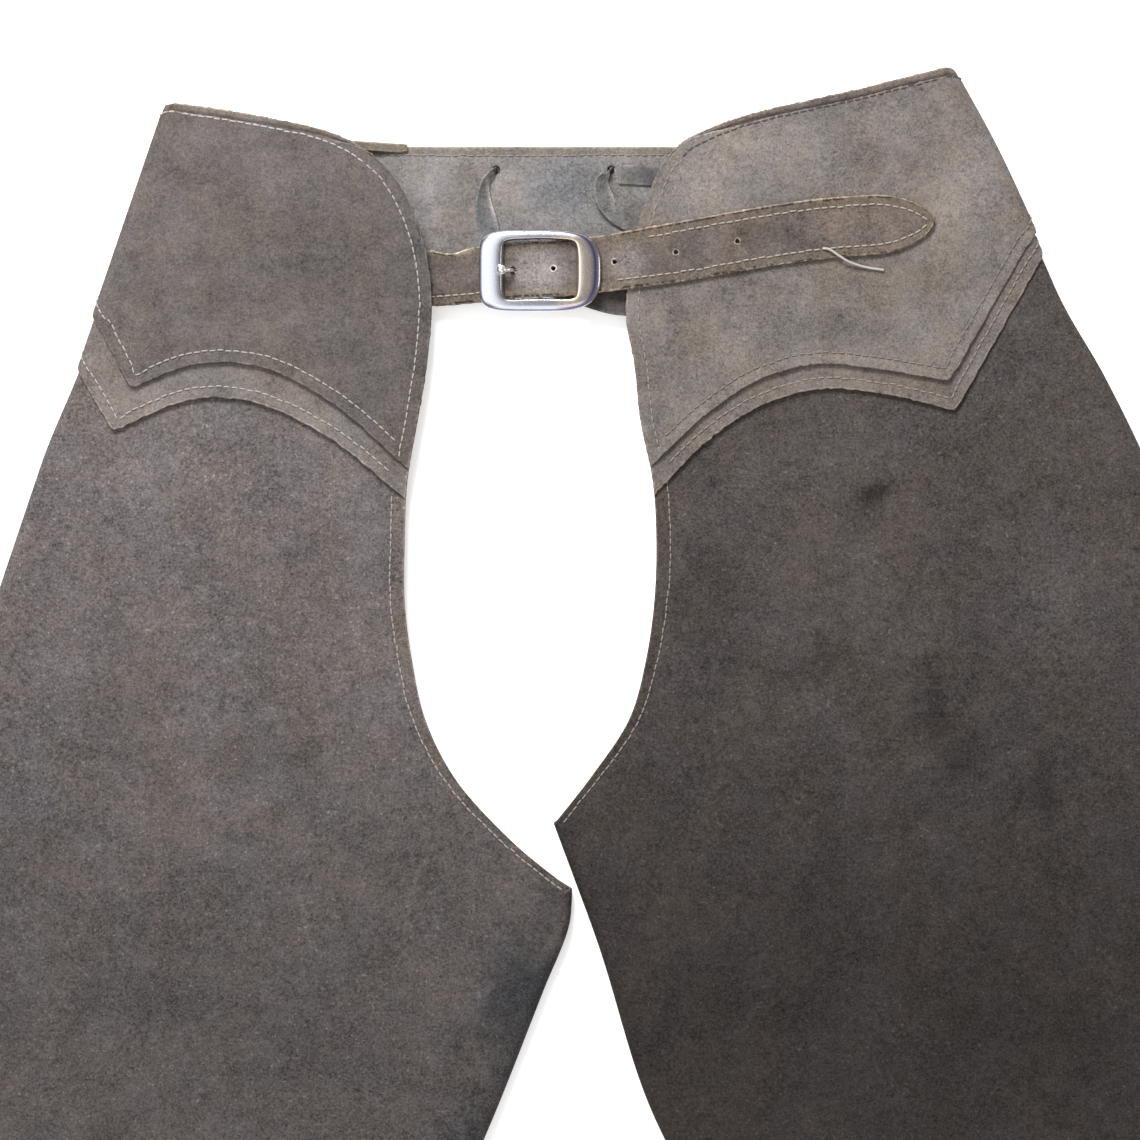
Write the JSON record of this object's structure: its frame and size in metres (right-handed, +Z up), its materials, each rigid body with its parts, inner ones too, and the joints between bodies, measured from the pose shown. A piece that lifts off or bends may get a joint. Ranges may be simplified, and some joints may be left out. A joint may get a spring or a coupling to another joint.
{
  "type": "western_chaps",
  "caption": "Suede western chaps laid flat on their back: open-seated legs with scalloped double yokes, a laced back belt and a pointed strap closed in a chromed centre-bar buckle.",
  "frame": {"origin": "on the surface the chaps lie on, under the middle of the whole outline", "axes": "+X to the right as seen from the front, +Y towards the waist, +Z up from the surface, out of the front of the legs"},
  "size_m": [1.1858, 1.1568, 0.0269],
  "materials": {
    "leg_suede": "rough suede, grey-brown",
    "yoke_suede": "rough suede, lighter grey-brown",
    "strap_suede": "rough suede, warm grey",
    "belt_suede": "rough suede, pale grey",
    "chrome": "polished"
  },
  "bodies": {
    "root": {"left_leg": "leg_suede", "right_leg": "leg_suede", "left_under_yoke": "yoke_suede", "left_yoke": "yoke_suede", "right_under_yoke": "yoke_suede", "right_yoke": "yoke_suede", "back_belt": "belt_suede", "left_back_hem": "yoke_suede", "billet_strap": "strap_suede", "buckle_strap": "strap_suede", "buckle_frame": "chrome", "buckle_prong": "chrome", "back_lace": "belt_suede", "lace_end": "belt_suede"}
  },
  "joints": []
}
